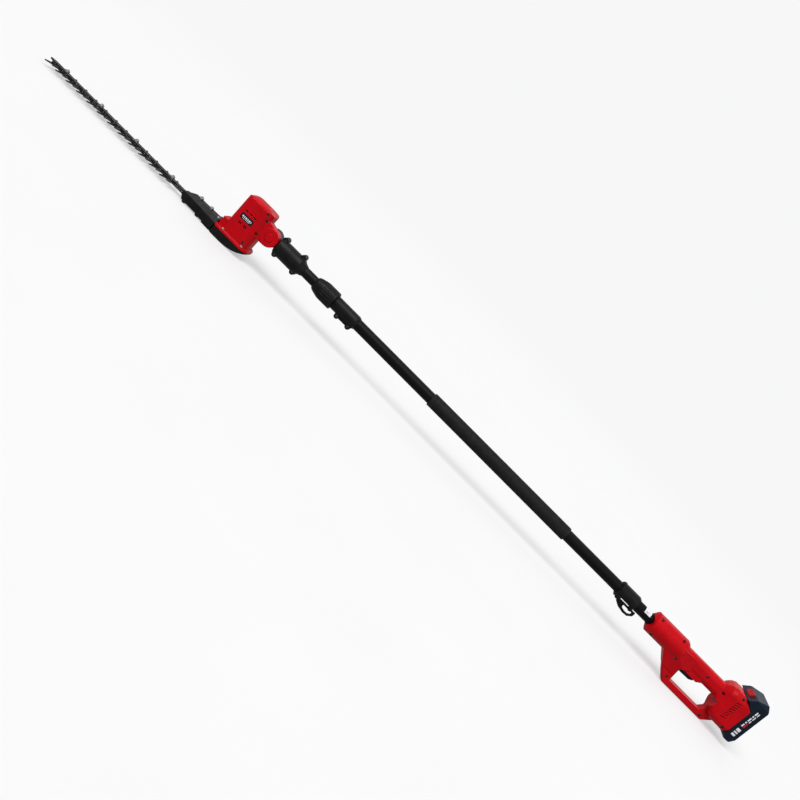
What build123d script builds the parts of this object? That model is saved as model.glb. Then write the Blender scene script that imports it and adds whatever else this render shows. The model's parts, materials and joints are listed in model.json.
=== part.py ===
from build123d import *
import os
from math import atan2, cos, hypot, pi, radians, sin, sqrt

# Battery pole hedge trimmer, lying level on its gear case and hand guard.
# X runs along the pole: the blade points to -X and the battery is at +X.
# Y runs across the tool: the tool's left side is at -Y. Z points up.
# Every place below is measured from the pole's own axis, at y = z = 0.
# The whole model is moved once, on export, so that the origin ends up in the
# middle of the overall box, on the surface that the tool stands on.

# ---------------------------------------------------------------- driving sizes
BLADE_TIP_X = -1125.0
BATTERY_REAR_X = 1079.0
REST_Z = -84.0

GAP = 0.3
RUN = 0.04
SCREW_R = 1.65
SCREW_BORE_R = 1.7
SCREW_HEAD_R = 3.2
COUNTERBORE_R = 3.6

TUBE_R = 14.0
TUBE_BORE_R = 12.8
TUBE_X = (-255.0, 850.0)
INNER_R = 12.5
INNER_BORE_R = 11.3
INNER_X = (-400.0, 325.0)
GRIP_X = (49.0, 485.0)
GRIP_R = 17.1

COLLAR_X = (-326.0, -264.0)
COLLAR_R = 23.0
CLAMP_X = (-262.0, -191.0)
BRACKET_X = (-447.0, -362.0)
BRACKET_R = 22.5

PIVOT = (-469.0, 2.0)
KNUCKLE_R = 22.5
KNUCKLE_Y = 26.0

HEAD_X = (-565.0, -490.0)
HEAD_HALF = 31.0
HEAD_TOP_Z = 50.0
FLANGE_Z = -64.0
MOTOR_X = -518.0
MOTOR_R = 18.0
MODULE = 1.25
PINION_TEETH = 12
GEAR_TEETH = 36
GEAR_X = MOTOR_X - MODULE * (PINION_TEETH + GEAR_TEETH) / 2
STROKE = 6.5
ECCENTRIC_R = 7.0

UPPER_BLADE_Z = (-70.9, -68.6)
LOWER_BLADE_Z = (-73.5, -71.2)
BAR_Z = (-68.3, -64.8)
TOOTH_PITCH = 33.4
FIRST_TOOTH_X = BLADE_TIP_X + 7.5
TOOTH_TIP_Y = 32.0
SPINE_Y = 9.0
BLADE_BOLTS_X = (-1075.0, -963.6, -849.7, -732.3)
GUARD_BOLTS_X = (-649.5, -617.0)
GUARD_X = (-688.0, -582.0)
GUARD_TOP_Z = -52.0
SKIRT_Z = -80.8

HANDLE_FRONT_X = 756.0
BARREL_R = 28.0
BARREL_END_X = 862.0
HOLD_HALF = 17.0
HOLD_Z = (-19.4, 18.7)
HAND_LOOP_Z = -68.0
BASE_REAR_X = 1051.0
BASE_HALF = 38.0
BASE_Z = (-61.0, 35.0)
TRIGGER_X = (885.6, 925.0)

BATTERY_FRONT_X = 1051.5
BATTERY_Z = (-67.0, 57.4)
BATTERY_CORNER = (7.0, 9.0)
BATTERY_SEAM_X = 1066.0
CELL_R = 9.0
CELL_LENGTH = 65.0

SHIFT_X = -(BLADE_TIP_X + BATTERY_REAR_X) / 2
FAR = 200.0


# ---------------------------------------------------------------- basic shapes
def box(x0, x1, y0, y1, z0, z1):
    """Block between two opposite corners."""
    block = Box(x1 - x0, y1 - y0, z1 - z0)
    return Pos((x0 + x1) / 2, (y0 + y1) / 2, (z0 + z1) / 2) * block


def rod_x(radius, x0, x1, y=0.0, z=0.0):
    """Round bar along X."""
    bar = Cylinder(radius, x1 - x0)
    return Pos((x0 + x1) / 2, y, z) * Rot(0, 90, 0) * bar


def rod_y(radius, x, z, y0, y1):
    """Round bar along Y."""
    bar = Cylinder(radius, y1 - y0)
    return Pos(x, (y0 + y1) / 2, z) * Rot(90, 0, 0) * bar


def rod_z(radius, x, y, z0, z1):
    """Round bar along Z."""
    return Pos(x, y, (z0 + z1) / 2) * Cylinder(radius, z1 - z0)


def hex_z(radius, x, y, z0, z1):
    """Hexagon bar along Z, with radius to its corners."""
    prism = extrude(RegularPolygon(radius, 6), z1 - z0)
    return Pos(x, y, z0) * prism


def hex_y(radius, x, z, y0, y1):
    """Hexagon bar along Y, with radius to its corners."""
    prism = extrude(RegularPolygon(radius, 6), y1 - y0)
    return Pos(x, y1, z) * Rot(90, 0, 0) * prism


def outline(points, radius=0.0):
    """Closed flat outline, with every corner rounded when a radius is given."""
    face = make_face(Polyline(*points, close=True))
    return fillet(face.vertices(), radius) if radius else face


def side_plate(points, y0, y1, radius=0.0):
    """Outline drawn in X and Z, made thick along Y."""
    plate = extrude(outline(points, radius), y1 - y0)
    return Pos(0, y1, 0) * Rot(90, 0, 0) * plate


def plan_plate(points, z0, z1, radius=0.0):
    """Outline drawn in X and Y, made thick along Z."""
    return Pos(0, 0, z0) * extrude(outline(points, radius), z1 - z0)


def cross_plate(points, x0, x1, radius=0.0):
    """Outline drawn in Y and Z, made thick along X."""
    return extrude(Plane.YZ.offset(x0) * outline(points, radius), x1 - x0)


def rectangle(a0, a1, b0, b1):
    """Corner points of a rectangle."""
    return [(a0, b0), (a1, b0), (a1, b1), (a0, b1)]


def rounded_plan(x0, x1, half, front_r, rear_r, z0, z1):
    """Upright block with tight corners in front and wide ones at the back."""
    face = outline(rectangle(x0, x1, -half, half))
    face = fillet(face.vertices().group_by(Axis.X)[0], front_r)
    face = fillet(face.vertices().group_by(Axis.X)[-1], rear_r)
    return Pos(0, 0, z0) * extrude(face, z1 - z0)


def lathe_x(points):
    """Turned part: points are places along X and radii."""
    face = Plane.XZ * outline(points)
    return revolve(face, Axis.X)


def section_x(x, half, z0, z1, radius):
    """Rounded rectangle across X, for lofts."""
    rounded = RectangleRounded(2 * half, z1 - z0, radius)
    return Plane.YZ.offset(x) * Pos(0, (z0 + z1) / 2) * rounded


def left_half(shape):
    return shape & box(-2000, 2000, -FAR, 0, -FAR, FAR)


def right_half(shape):
    return shape & box(-2000, 2000, 0, FAR, -FAR, FAR)


def save(name, shape):
    """Move a part to the shared origin and write it."""
    placed = Pos(SHIFT_X, 0, -REST_Z) * shape
    solids = placed.solids()
    whole = solids[0] if len(solids) == 1 else Compound(children=solids)
    export_step(whole, f"parts/{name}.step")


# ---------------------------------------------------------------- fasteners along Y
def screw_y(x, z, half, depth=4.0):
    """Pan-head screw sunk into the left side, with its tip in the right shell."""
    seat = -(half - depth)
    head = rod_y(SCREW_HEAD_R, x, z, seat - 2.0, seat)
    shank = rod_y(SCREW_R, x, z, seat, half - depth)
    cross = box(x - 2.2, x + 2.2, seat - 2.2, seat - 1.0, z - 0.4, z + 0.4)
    cross += box(x - 0.4, x + 0.4, seat - 2.2, seat - 1.0, z - 2.2, z + 2.2)
    return head + shank - cross


def screw_hole_y(x, z, half, depth=4.0):
    """Counterbored hole for screw_y."""
    seat = -(half - depth)
    bore = rod_y(SCREW_BORE_R, x, z, seat, half - depth + 0.4)
    return bore + rod_y(COUNTERBORE_R, x, z, -FAR, seat)


def boss_y(x, z, form, radius=4.6):
    """Screw pillar across a hollow shell, trimmed to the shell's own form."""
    return rod_y(radius, x, z, -FAR, FAR) & form


# ---------------------------------------------------------------- handle
HANDLE_SCREWS = (
    (773.5, 22.0, 16.0),
    (840.8, 22.0, 16.0),
    (778.8, -21.2, 17.0),
    (856.0, -20.5, 19.5),
    (937.5, 1.5, 16.5),
    (986.0, 2.0, 21.5),
    (1021.0, 27.5, 33.4),
    (878.8, -66.0, 11.0),
    (996.5, -76.0, 11.0),
    (1038.0, -51.6, 34.4),
)
LOOP_TOP_X = (885.0, 992.0)
LOCK_BUTTON = (905.0, 1.0)
RAIL_X = (1036.0, 1043.5)
RAIL_HALF = 25.0
RAIL_PLAY = 0.4
NECK_HALF = 20.0
RAIL_BOTTOM_Z = -46.0
BOARD_X = 1013.5
VENT_X = 1020.5


def barrel_form():
    """Round front of the handle, with a chamfered and scooped nose."""
    barrel = lathe_x([
        (HANDLE_FRONT_X, 0),
        (HANDLE_FRONT_X, 15),
        (HANDLE_FRONT_X + 9, BARREL_R),
        (BARREL_END_X - 7, BARREL_R),
        (BARREL_END_X, BARREL_R - 4),
        (BARREL_END_X + 6, HOLD_HALF),
        (BARREL_END_X + 6, 0),
    ])
    scoop_r = 17.5
    scoop = rod_y(scoop_r, HANDLE_FRONT_X + 7 - scoop_r, 0, -FAR, FAR)
    return barrel - scoop


def base_form():
    """Wide rear block that carries the battery rails."""
    sections = [
        section_x(980, HOLD_HALF, *HOLD_Z, 14),
        section_x(987, 24.5, -40, 25.5, 17),
        section_x(995, 32.0, -54, 31.5, 20),
        section_x(1004, BASE_HALF - 2, BASE_Z[0], BASE_Z[1], 20),
        section_x(BASE_REAR_X, BASE_HALF, *BASE_Z, 15),
    ]
    base = loft(sections[:2])
    for front, rear in zip(sections[1:], sections[2:]):
        base += loft([front, rear])
    trim = side_plate(
        [(1022, 60), (1022, BASE_Z[1]), (1031, 32), (BASE_REAR_X, 17), (1070, 17), (1070, 60)],
        -FAR, FAR,
    )
    lower = side_plate([(1043, -70), (1043, BASE_Z[0]), (BASE_REAR_X, -45), (1060, -70)], -FAR, FAR)
    return base - trim - lower


def hand_guard_form():
    """Closed loop below the grip that shields the fingers."""
    outer = [
        (812, -10), (826, -27), (862, -66), (880, REST_Z), (1006, REST_Z),
        (1026, -64), (1034, -50), (1034, -10),
    ]
    guard = side_plate(outer, -11, 11, 8)
    edges = guard.faces().filter_by(Axis.Y).edges()
    return fillet(edges, 5)


def barrel_web():
    """Tapered web that blends the barrel into the grip and the finger guard."""
    side = side_plate(
        [(812, 12), (812, -10), (826, -27), (850, -53), (884, -53), (884, -30), (902, -18), (902, 12)],
        -30, 30,
    )
    half_across = [(-25, 12), (-25, -8), (-17.5, -32), (-11.5, -56)]
    across = cross_plate(half_across + [(-y, z) for y, z in reversed(half_across)], 800, 910)
    half_plan = [(800, -25.5), (856, -25), (902, -16)]
    plan = plan_plate(half_plan + [(x, -y) for x, y in reversed(half_plan)], -60, 20)
    return side & across & plan


def finger_loop():
    """Space that the fingers go through."""
    right = LOOP_TOP_X[1]
    points = [
        (LOOP_TOP_X[0], -27), (932, -27), (942, HOLD_Z[0]), (right, HOLD_Z[0]), (right - 3, -45),
        (right, -56), (right - 8, HAND_LOOP_Z), (890, HAND_LOOP_Z),
    ]
    return side_plate(points, -FAR, FAR, 2.5)


def handle_form():
    """Whole outer form of the handle before it is hollowed and split."""
    hold = extrude(section_x(850, HOLD_HALF, *HOLD_Z, 14), 130)
    trigger_house = side_plate([(868, -12), (868, -27), (930, -27), (944, -12)], -14.5, 14.5, 3)
    form = barrel_form() + hold + trigger_house + base_form() + hand_guard_form() + barrel_web()
    return form - finger_loop()


def handle_cavity():
    """Hollow inside the handle."""
    barrel = rod_x(25, 797, 852)
    hold = extrude(section_x(851, 14, -16.4, 15.7, 11), 157)
    trigger = box(882.5, 931, -11.6, 11.6, -24.4, -8)
    base = extrude(section_x(1006.5, 34, -57, 31, 14), 21.5)
    return barrel + hold + trigger + base


def trigger_slot():
    return box(TRIGGER_X[0] - 0.6, TRIGGER_X[1] + 0.6, -9, 9, -40, -8)


def battery_rail_slot():
    """Slot with undercut sides that the battery slides into from above."""
    top = 60
    floor_z = RAIL_BOTTOM_Z - 0.5
    rail_y = RAIL_HALF + RAIL_PLAY
    neck_y = NECK_HALF + RAIL_PLAY
    undercut = box(RAIL_X[0] - RAIL_PLAY, RAIL_X[1] + RAIL_PLAY, -rail_y, rail_y, floor_z, top)
    neck = box(RAIL_X[1], BASE_REAR_X + 5, -neck_y, neck_y, floor_z, top)
    return undercut + neck


def handle_vents():
    """Slanted cooling slots through both sides of the base."""
    slots = None
    for index in range(8):
        z = -33 + 6.6 * index
        slot = Rot(0, -24, 0) * Box(13, 2 * FAR, 2.0)
        slot = Pos(VENT_X, 0, z) * slot
        slots = slot if slots is None else slots + slot
    return slots - box(0, 2000, -34, 34, -FAR, FAR)


def handle_shells():
    """Left and right shells of the handle."""
    form = handle_form()
    body = form - handle_cavity() - battery_rail_slot()
    for x, z, _ in HANDLE_SCREWS:
        body += boss_y(x, z, form)
    body -= rod_x(TUBE_R, HANDLE_FRONT_X - 1, TUBE_X[1])
    body -= trigger_slot()
    body -= handle_vents()
    for x, z, half in HANDLE_SCREWS:
        body -= screw_hole_y(x, z, half)
    body -= box(1020, 1037, -15, 15, -32, 2)
    button_hole = rod_y(5.3, LOCK_BUTTON[0], LOCK_BUTTON[1], 0, FAR)
    save("handle_left_shell", left_half(body))
    save("handle_right_shell", right_half(body) - button_hole)
    save("handle_screws", Compound(children=[screw_y(*place) for place in HANDLE_SCREWS]))


def coil_z(x, y, z0, z1, radius, wire, turns):
    """Compression spring along Z."""
    path = Pos(x, y, z0 + wire) * Helix((z1 - z0 - 2 * wire) / turns, z1 - z0 - 2 * wire, radius)
    start = Plane(origin=path @ 0, z_dir=path % 0)
    return sweep(start * Circle(wire), path)


def trigger_parts():
    """Trigger, its switch and the lock-off button."""
    x0, x1 = TRIGGER_X
    finger = [(x0, -21), (x0, -35), (x0 + 4, -36.5), (x1 - 9, -35.5), (x1, -31), (x1, -21)]
    trigger = side_plate(finger, -8.6, 8.6)
    trigger += box(x0 + 0.2, x1, -8.6, 8.6, -22, -17)
    trigger += box(x0 + 0.2, x1 - 0.2, -10.6, 10.6, -20, -17)
    spring_x = x0 + 9
    trigger -= rod_z(3.4, spring_x, 0, -24.5, -16)
    save("trigger", trigger)
    switch = box(x0 + 2, x1 + 2, -8.5, 8.5, -9.5, 9)
    switch += box(x1 - 4, x1 + 7, -6, 6, 2, 6)
    switch += box(x1 - 12, x1 - 6, -3, 3, -10.6, -9)
    save("trigger_switch", switch)
    save("trigger_spring", coil_z(spring_x, 0, -16.9, -9.6, 2.5, 0.4, 5))
    button = rod_y(5.0, *LOCK_BUTTON, 12.2, 19.6)
    button = chamfer(button.faces().sort_by(Axis.Y)[-1].edges(), 0.8)
    button += rod_y(6.6, *LOCK_BUTTON, 11.2, 12.2)
    save("lock_off_button", button)


def handle_electrics():
    """Speed control board and the contacts that reach into the battery."""
    board = box(BOARD_X, BOARD_X + 1.6, -30, 30, -50, 22)
    board += box(BOARD_X - 6.5, BOARD_X, -24, -12, -42, -20)
    board += rod_x(6, BOARD_X - 6.5, BOARD_X, 12, -32)
    board += box(BOARD_X - 3, BOARD_X, 4, 14, 0, 14)
    save("control_board", board)
    block = box(1020.4, RAIL_X[0] - 0.6, -14.6, 14.6, -31.6, 1.6)
    blades = [box(1030, 1049, y - 0.5, y + 0.5, -26, -8) for y in (-10, 0, 10)]
    for blade in blades:
        block -= blade
    save("terminal_block", block)
    save("contact_blades", Compound(children=blades))


# ---------------------------------------------------------------- battery
SLOPE_FOOT = (1026.8, 34.9)
SLOPE_TOP = (1043.0, 50.1)
SEAM_TOP_Z = BATTERY_Z[1] - 1.1
BUTTON_SPAN = (5.0, 20.0)
BUTTON_HALF = 15.0
CONTACTS_Y = (-10.0, 0.0, 10.0)
BATTERY_SCREWS = ((-35.2, -55.0), (-35.2, 8.0), (35.2, -55.0), (35.2, 8.0))


def on_slope(points):
    """Places given as a distance up the battery's front slope and a height above it."""
    run = SLOPE_TOP[0] - SLOPE_FOOT[0]
    rise = SLOPE_TOP[1] - SLOPE_FOOT[1]
    length = hypot(run, rise)
    c, s = run / length, rise / length
    return [(SLOPE_FOOT[0] + a * c - h * s, SLOPE_FOOT[1] + a * s + h * c) for a, h in points]


def battery_section(x0, x1):
    """Cross-section of the battery, with its top corners cut."""
    low, high = BATTERY_Z
    cut_y, cut_z = BATTERY_CORNER
    half = BASE_HALF
    return cross_plate(
        [(-half, low), (half, low), (half, high - cut_z), (half - cut_y, high),
         (cut_y - half, high), (-half, high - cut_z)],
        x0, x1, 3,
    )


def battery_front_form():
    """Outer form of the front case, stepping over the handle's base."""
    low = BATTERY_Z[0]
    side = side_plate(
        [(BATTERY_FRONT_X, low + 6), (BATTERY_FRONT_X, 17.6), (1032, 32.8), SLOPE_FOOT, SLOPE_TOP,
         (BATTERY_SEAM_X, SEAM_TOP_Z), (BATTERY_SEAM_X, low), (BATTERY_FRONT_X + 6, low)],
        -BASE_HALF, BASE_HALF,
    )
    return side & battery_section(1000, BATTERY_SEAM_X)


def battery_front_case():
    """Front case with its rails, contact slots and the recess of the release button."""
    low, high = BATTERY_Z
    front = battery_front_form()
    front -= box(BATTERY_FRONT_X + 2.5, BATTERY_SEAM_X, -35, 35, low + 4, high - 6)
    front += box(RAIL_X[1], BATTERY_FRONT_X + 1, -NECK_HALF, NECK_HALF, RAIL_BOTTOM_Z, 30)
    front += box(RAIL_X[0], RAIL_X[1], -RAIL_HALF, RAIL_HALF, RAIL_BOTTOM_Z, 30)
    slot_top = -4.0
    for y in CONTACTS_Y:
        front -= box(RAIL_X[0] - 1, BATTERY_FRONT_X + 0.6, y - 1.4, y + 1.4, RAIL_BOTTOM_Z - 1, slot_top)
    a0, a1 = BUTTON_SPAN
    recess = rectangle(a0 - GAP, a1 + GAP, -4.4, 10)
    front -= side_plate(on_slope(recess), -BUTTON_HALF - GAP, BUTTON_HALF + GAP)
    for y, z in BATTERY_SCREWS:
        front += rod_x(2.6, BATTERY_FRONT_X + 2.5, BATTERY_SEAM_X, y, z)
        front -= rod_x(SCREW_BORE_R, BATTERY_FRONT_X - 1, BATTERY_SEAM_X, y, z)
        front -= rod_x(2.4, BATTERY_FRONT_X - 1, BATTERY_FRONT_X + 2, y, z)
    save("battery_front_case", front - label_recess())


def battery_rear_case():
    """Rear case, with short finger grips along its top edge."""
    low, high = BATTERY_Z
    seam = BATTERY_SEAM_X
    points = [
        (seam, low), (seam + 6, low + 1), (BATTERY_REAR_X, low + 15), (BATTERY_REAR_X, 44),
        (1074.5, 52), (1071, high), (seam, SEAM_TOP_Z),
    ]
    rear = side_plate(points, -BASE_HALF, BASE_HALF) & battery_section(seam, BATTERY_REAR_X)
    inner_x = BATTERY_REAR_X - 2.6
    hollow = [
        (seam, low + 4), (seam + 4, low + 4.5), (inner_x, low + 17), (inner_x, 41),
        (seam + 4, high - 6), (seam, high - 6),
    ]
    rear -= side_plate(hollow, -35, 35)
    grip = [(1073.7, 51.6), (1078.2, 43.6), (1083, 46), (1078, 54)]
    for index in range(9):
        y = -24 + 6 * index
        rear -= side_plate(grip, y - 1.1, y + 1.1)
    save("battery_rear_case", rear - label_recess())


def battery_screws():
    """Screws that hold the two cases together."""
    screws = []
    for y, z in BATTERY_SCREWS:
        screw = rod_x(SCREW_R, BATTERY_FRONT_X + 1.9, BATTERY_SEAM_X, y, z)
        screws.append(screw + rod_x(2.3, BATTERY_FRONT_X + 0.4, BATTERY_FRONT_X + 1.9, y, z))
    save("battery_screws", Compound(children=screws))


def label_points():
    """Outline of the side label, seen from the left."""
    return [(1055.5, -55), (1070, -55), (1074.5, -48), (1074.5, 30), (1069, 38), (1055.5, 38)]


def label_recess():
    return side_plate(label_points(), -BASE_HALF - 1, -BASE_HALF + 0.6, 1.5)


def release_button():
    """Ribbed button on the front slope that lets the battery go."""
    a0, a1 = BUTTON_SPAN
    side = [(a0, -1.5), (a0, 0.8), (a0 + 2.5, 2.8), (a1 - 1.5, 3.6), (a1, 2.2), (a1, -1.5)]
    button = side_plate(on_slope(side), -BUTTON_HALF, BUTTON_HALF)
    for index in range(4):
        a = a0 + 3 + 2.8 * index
        button -= side_plate(on_slope(rectangle(a, a + 1.2, 2.3, 6)), -12, 12)
    save("battery_release_button", button)


def battery_parts():
    battery_front_case()
    battery_rear_case()
    battery_screws()
    save("battery_label", side_plate(label_points(), -BASE_HALF + 0.1, -BASE_HALF + 0.6, 1.5))
    cells = []
    for index in range(5):
        z = -48 + 19.5 * index
        cells.append(rod_y(CELL_R, 1064.5, z, -CELL_LENGTH / 2, CELL_LENGTH / 2))
    save("battery_cells", Compound(children=cells))
    release_button()


# ---------------------------------------------------------------- pole and its fittings
def tube_parts():
    outer = rod_x(TUBE_R, *TUBE_X) - rod_x(TUBE_BORE_R, *TUBE_X)
    save("outer_tube", outer)
    inner = rod_x(INNER_R, *INNER_X) - rod_x(INNER_BORE_R, *INNER_X)
    save("inner_tube", inner)
    bush_r = TUBE_BORE_R - RUN
    bush = rod_x(bush_r, INNER_X[1], INNER_X[1] + 12)
    bush += rod_x(INNER_BORE_R, INNER_X[1] - 14, INNER_X[1])
    bush -= rod_x(8, INNER_X[1] - 20, INNER_X[1] + 20)
    save("inner_tube_bush", bush)
    profile = Circle(GRIP_R)
    ribs = 40
    for index in range(ribs):
        angle = 360 / ribs * index
        notch = Rot(0, 0, angle) * Pos(GRIP_R, 0) * Rectangle(1.2, 1.1)
        profile -= notch
    profile -= Circle(TUBE_R)
    length = GRIP_X[1] - GRIP_X[0]
    sleeve = Pos(GRIP_X[0], 0, 0) * Rot(0, 90, 0) * extrude(profile, length)
    for x0 in (GRIP_X[0], GRIP_X[1] - 6):
        sleeve += rod_x(GRIP_R, x0, x0 + 6) - rod_x(TUBE_R, x0, x0 + 6)
    save("grip_sleeve", sleeve)
    sticker = rod_x(TUBE_R + 0.2, 732, 750) - rod_x(TUBE_R, 730, 752)
    sector = cross_plate([(0, 0), (-40, 12), (-40, 40), (-1, 40)], 700, 800)
    save("tube_sticker", sticker & sector)


def lock_collar_parts():
    """Twist-lock collar and the slotted collet that it squeezes on the inner tube."""
    x0, x1 = COLLAR_X
    collar = lathe_x([
        (x0, 12.9), (x0, 15.2), (x0 + 5, 18), (x0 + 17, 21.2), (x0 + 26, COLLAR_R),
        (x1 - 2, COLLAR_R), (x1, COLLAR_R - 2), (x1, 18.2), (x0 + 17, 18.2), (x0 + 15, 12.9),
    ])
    grooves = 20
    for index in range(grooves):
        angle = 2 * pi / grooves * (index + 0.5)
        groove = rod_x(1.5, x0 + 22, x1 - 5, (COLLAR_R + 0.6) * cos(angle), (COLLAR_R + 0.6) * sin(angle))
        collar -= groove
    save("twist_lock_collar", collar)
    collet = lathe_x([
        (x0 + 17.5, 12.9), (x0 + 19, 15.5), (x0 + 24, 17.7), (x1 + 1, 17.7), (x1 + 1, 15.6),
        (x1 + 2.5, 15.6), (x1 + 2.5, 17.2), (x1 + 6, 17.2), (x1 + 6, 12.9),
    ])
    for angle in (0, 60, 120):
        collet -= Rot(angle, 0, 0) * box(x0 + 10, x0 + 46, -FAR, FAR, -0.8, 0.8)
    save("collet", collet)


CLAMP_SCREWS = ((-238.0, -18.5), (-203.0, -18.5))


def front_clamp():
    """Two-part clamp that ties the collet to the end of the outer tube."""
    x0, x1 = CLAMP_X
    form = lathe_x([(x0 + 0.4, 0), (x0 + 0.4, 16), (x0 + 4, 17.2), (x1 - 6, 17.2), (x1, 14.6), (x1, 0)])
    flange = side_plate(
        [(-250, -5), (-250, -12), (-240, -20.5), (-201, -20.5), (-193, -12), (-193, -5)], -9, 9, 2
    )
    form += flange
    for x, z in CLAMP_SCREWS:
        form += rod_y(6.6, x, z, -11, 11)
    form -= rod_x(TUBE_R, *CLAMP_X)
    form -= rod_x(17.6, x0, -254.9) & rod_x(17.2, x0 - 10, -257.9)
    form -= rod_x(12.9, x0 - 1, x0 + 10)
    for x, z in CLAMP_SCREWS:
        form -= screw_hole_y(x, z, 11.0, 3.5)
    save("front_clamp_left", left_half(form))
    save("front_clamp_right", right_half(form))
    save("front_clamp_screws", Compound(children=[screw_y(x, z, 11.0, 3.5) for x, z in CLAMP_SCREWS]))


RING_AXIS_Z = -18.6
RING_BAR_R = 2.0


def strap_parts():
    """Collar that carries the shoulder strap, with its swinging ring."""
    collar = lathe_x([
        (656, 13), (656, 17), (659, 20.4), (663.5, 20.4), (665, 19.2), (707, 19.2), (712.5, 16.5), (712.5, 13),
    ])
    collar += side_plate([(660, -8), (665, -22.3), (673, -22.3), (677, -8)], -7, 7, 1.2)
    collar += side_plate([(703, -8), (706.4, -22.3), (712.4, -22.3), (712.4, -8)], -6, 6, 1.2)
    collar -= rod_x(TUBE_R, 600, 800)
    collar -= box(673.4, 706.2, -FAR, FAR, -40, -8.5)
    collar -= rod_x(RING_BAR_R + RUN, 665.5, 720, 0, RING_AXIS_Z)
    save("strap_collar", collar)


def strap_ring():
    """Closed ring for the strap, swinging on its own straight bar."""
    bar_top = RING_AXIS_Z + 2
    notch_z = RING_AXIS_Z - 2.8
    body = [
        (674, bar_top), (674, -26), (686, -32.5), (704, -35.8), (716, -34.8), (726, -26), (726, bar_top),
        (713.2, bar_top), (713.2, notch_z), (705.7, notch_z), (705.7, bar_top),
    ]
    plate = side_plate(body, -2.8, 2.8)
    eye_top = RING_AXIS_Z - 2.5
    eye = [(692, eye_top), (720, eye_top), (720, -26.4), (714, -30.2), (704, -30.4), (694.5, -27.6)]
    ring = plate - side_plate(eye, -FAR, FAR, 1.6)
    ring += rod_x(RING_BAR_R, 666.5, 716, 0, RING_AXIS_Z)
    save("strap_ring", ring)


# ---------------------------------------------------------------- pole-end bracket and hinge
BRACKET_SCREWS = ((-439.0, 22.8), (-383.0, 22.8), (-438.0, -19.5), (-381.0, -19.5))


def bracket_parts():
    """Two half shells that clamp the inner tube and carry the hinge knuckle."""
    x0, x1 = BRACKET_X
    form = lathe_x([
        (x0, 0), (x0, BRACKET_R - 2), (x0 + 3, BRACKET_R), (x1 - 16, BRACKET_R),
        (x1 - 8, 16.5), (x1, 13.6), (x1, 0),
    ])
    for x, z in BRACKET_SCREWS:
        form += rod_y(6.6, x, z, -11.5, 11.5)
        form += side_plate([(x - 11, 0), (x - 6, z), (x + 6, z), (x + 11, 0)], -9, 9)
    form -= rod_x(INNER_R, INNER_X[0], x1 + 1)
    form -= rod_x(13.0, x0 - 1, INNER_X[0] - 4)
    form -= rod_y(KNUCKLE_R + 0.7, *PIVOT, -FAR, FAR)
    for x, z in BRACKET_SCREWS:
        form -= screw_hole_y(x, z, 11.5, 3.5)
    save("bracket_left_shell", left_half(form))
    save("bracket_right_shell", right_half(form))
    save("bracket_screws", Compound(children=[screw_y(x, z, 11.5, 3.5) for x, z in BRACKET_SCREWS]))


def hinge_parts():
    """Dark knuckle on the pole, the pivot bolt and its nut."""
    disc = rod_y(KNUCKLE_R, *PIVOT, GAP, 24)
    disc = fillet(disc.faces().sort_by(Axis.Y)[-1].edges(), 3)
    stem = rod_x(13.0, PIVOT[0], INNER_X[0] - 4.5)
    stem -= rod_y(KNUCKLE_R + 0.7, *PIVOT, -FAR, GAP)
    stem -= box(PIVOT[0], PIVOT[0] + KNUCKLE_R, -FAR, GAP, -FAR, FAR)
    knuckle = disc + stem
    knuckle -= rod_x(6, INNER_X[0] - 40, INNER_X[0])
    knuckle -= rod_y(4.0, *PIVOT, -FAR, FAR)
    knuckle -= hex_y(6.6, *PIVOT, 17.5, 30)
    save("hinge_knuckle", knuckle)
    bolt = rod_y(4.0, *PIVOT, -11.3, 22.0) + rod_y(7.0, *PIVOT, -14.7, -11.3)
    bolt -= hex_y(3.0, *PIVOT, -15, -12.6)
    save("pivot_bolt", bolt)
    nut = hex_y(6.5, *PIVOT, 17.5, 22.0) - rod_y(4.0, *PIVOT, 0, 30)
    save("pivot_nut", nut)


# ---------------------------------------------------------------- cutting head
HEAD_SCREWS = ((-502.5, 39.0, 28.3), (-495.5, 25.5, 24.0), (-495.5, -12.5, 24.0), (-503.0, -49.0, 29.5))
FLANGE_X = (-582.0, -483.0)
FLANGE_TOP_Z = -57.0
FLANGE_BOLTS = ((-557.5, -33.4), (-557.5, 33.4), (-500.5, -32.0), (-500.5, 32.0))
HEAD_WALL = 3.5
GUARD_FIXINGS = ((-588.0, -13.0), (-588.0, 13.0))
LABEL_X = (-549.5, -514.5)
LABEL_Z = (-10.0, 4.0)
BUTTON_R = 10.5


def head_block(inset):
    """Tall rounded block with a top that is domed both ways."""
    x0, x1 = HEAD_X
    half = HEAD_HALF - inset
    block = rounded_plan(x0 + inset, x1 - inset, half, 12 - inset, 20 - inset, FLANGE_Z, 70)
    middle = (x0 + x1) / 2
    along_r = 92.0
    across_r = 66.0
    top = HEAD_TOP_Z - inset
    block &= rod_y(along_r, middle, top - along_r, -FAR, FAR)
    return block & rod_x(across_r, -700, -400, 0, top - across_r)


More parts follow.
